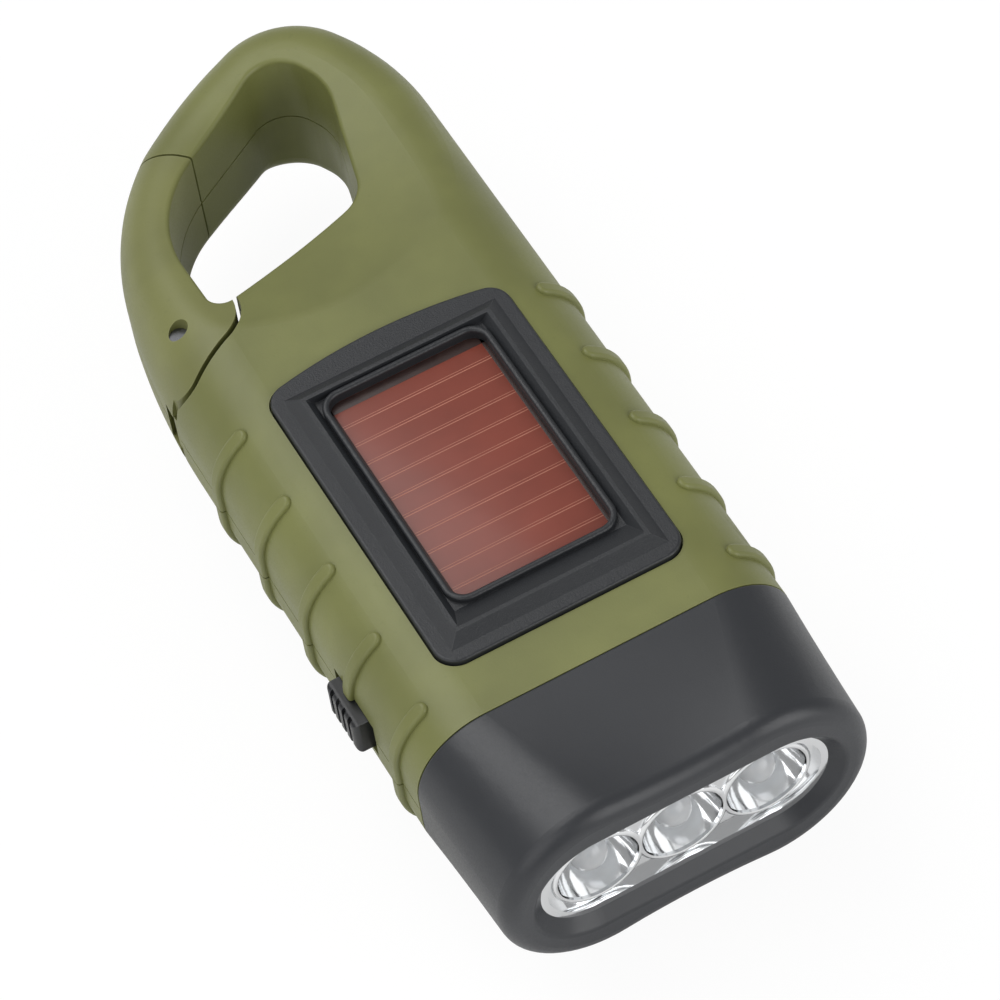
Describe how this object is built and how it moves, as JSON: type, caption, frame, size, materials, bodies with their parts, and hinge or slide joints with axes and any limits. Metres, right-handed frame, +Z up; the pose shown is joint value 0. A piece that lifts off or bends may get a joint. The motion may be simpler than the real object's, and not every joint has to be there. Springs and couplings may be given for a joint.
{
  "type": "hand crank flashlight",
  "caption": "Pocket flashlight with a carabiner end and spring gate, a solar panel, a reflector head, a slide switch and a folding crank that turns a geared dynamo.",
  "frame": {"origin": "middle of the length and width, on the surface the folded crank lies on", "axes": "+Z up through the solar panel, -Y to the lamps, +Y to the carabiner end, +X to the side away from the gate and switch"},
  "size_m": [0.0537, 0.1344, 0.0353],
  "materials": {
    "green_shell": "olive moulded shell, fine satin grain",
    "green_gate": "olive moulded gate, satin",
    "black_head": "dark moulded head, soft satin",
    "black_bezel": "dark bezel, fine sparkling grain",
    "black_switch": "black slider, satin",
    "black_crank": "black crank, satin",
    "black_tray": "black tray, satin",
    "reflector_chrome": "vacuum-plated, mirror bright",
    "lamp_lens": "clear moulded lamp",
    "board_laminate": "green laminate",
    "dark_component": "moulded component",
    "solar_glass": "red-brown cell under clear cover",
    "white_gear": "natural acetal",
    "steel": "bright steel",
    "rotor_steel": "dark magnet and steel shaft",
    "copper_winding": "enamelled copper winding",
    "bush_brass": "turned bush"
  },
  "bodies": {
    "housing": {"upper_shell": "green_shell", "lower_shell": "green_shell", "head_cap": "black_head", "reflector": "reflector_chrome", "leds": "lamp_lens", "led_board": "board_laminate", "solar_bezel": "black_bezel", "solar_cell": "solar_glass", "switch_body": "black_switch", "gearbox_plate": "white_gear", "middle_axle": "steel", "fast_axle": "steel", "dynamo_can": "steel", "dynamo_coil": "copper_winding", "crank_bush": "bush_brass", "main_board": "board_laminate", "board_parts": "dark_component", "battery_cells": "steel", "battery_tray": "black_tray", "case_screws": "steel"},
    "gate": {"gate_upper_half": "green_gate", "gate_lower_half": "green_gate", "gate_screw": "steel", "gate_hinge_pin": "steel", "gate_spring": "steel"},
    "switch": {"switch_slider": "black_switch"},
    "crank": {"crank_arm": "black_crank", "crank_cap": "black_crank", "crank_screw": "steel", "drive_gear": "white_gear", "knob_hinge_pin": "steel"},
    "link": {"knob_link": "steel", "knob_cap": "black_crank"},
    "grip": {"knob": "black_crank"},
    "middle": {"middle_gear": "white_gear"},
    "fast": {"fast_gear": "white_gear"},
    "rotor": {"rotor": "rotor_steel"}
  },
  "joints": [
    {"name": "gate_open", "type": "hinge", "parent": "housing", "child": "gate", "pos_m": [-0.0228, 0.01896, 0.0207], "axis": [0, 0, 1], "range_deg": [0, 32], "stiffness_Nm_per_rad": 0.03, "springref_deg": -17.19},
    {"name": "switch_slide", "type": "slide", "parent": "housing", "child": "switch", "axis": [0, 1, 0], "range_m": [-0.0011, 0.0011]},
    {"name": "crank_spin", "type": "hinge", "parent": "housing", "child": "crank", "pos_m": [0, -0.0232, 0.0033], "axis": [0, 0, 1], "continuous": true},
    {"name": "knob_fold", "type": "hinge", "parent": "crank", "child": "link", "pos_m": [0, 0.0208, 0.0033], "axis": [1, 0, 0], "range_deg": [0, 90]},
    {"name": "knob_spin", "type": "hinge", "parent": "link", "child": "grip", "pos_m": [0, 0.0028, 0.0033], "axis": [0, 1, 0], "continuous": true},
    {"name": "middle_spin", "type": "hinge", "parent": "housing", "child": "middle", "pos_m": [0.00697, -0.00174, 0.0155], "axis": [0, 0, 1], "continuous": true},
    {"name": "fast_spin", "type": "hinge", "parent": "housing", "child": "fast", "pos_m": [-0.00825, 0.00094, 0.0175], "axis": [0, 0, 1], "continuous": true},
    {"name": "rotor_spin", "type": "hinge", "parent": "housing", "child": "rotor", "pos_m": [-0.01138, -0.01071, 0.024], "axis": [0, 0, 1], "continuous": true}
  ],
  "couplings": [
    {"joint": "middle_spin", "follows": "crank_spin", "ratio": -4},
    {"joint": "fast_spin", "follows": "crank_spin", "ratio": 13.6},
    {"joint": "rotor_spin", "follows": "crank_spin", "ratio": -40.8}
  ]
}
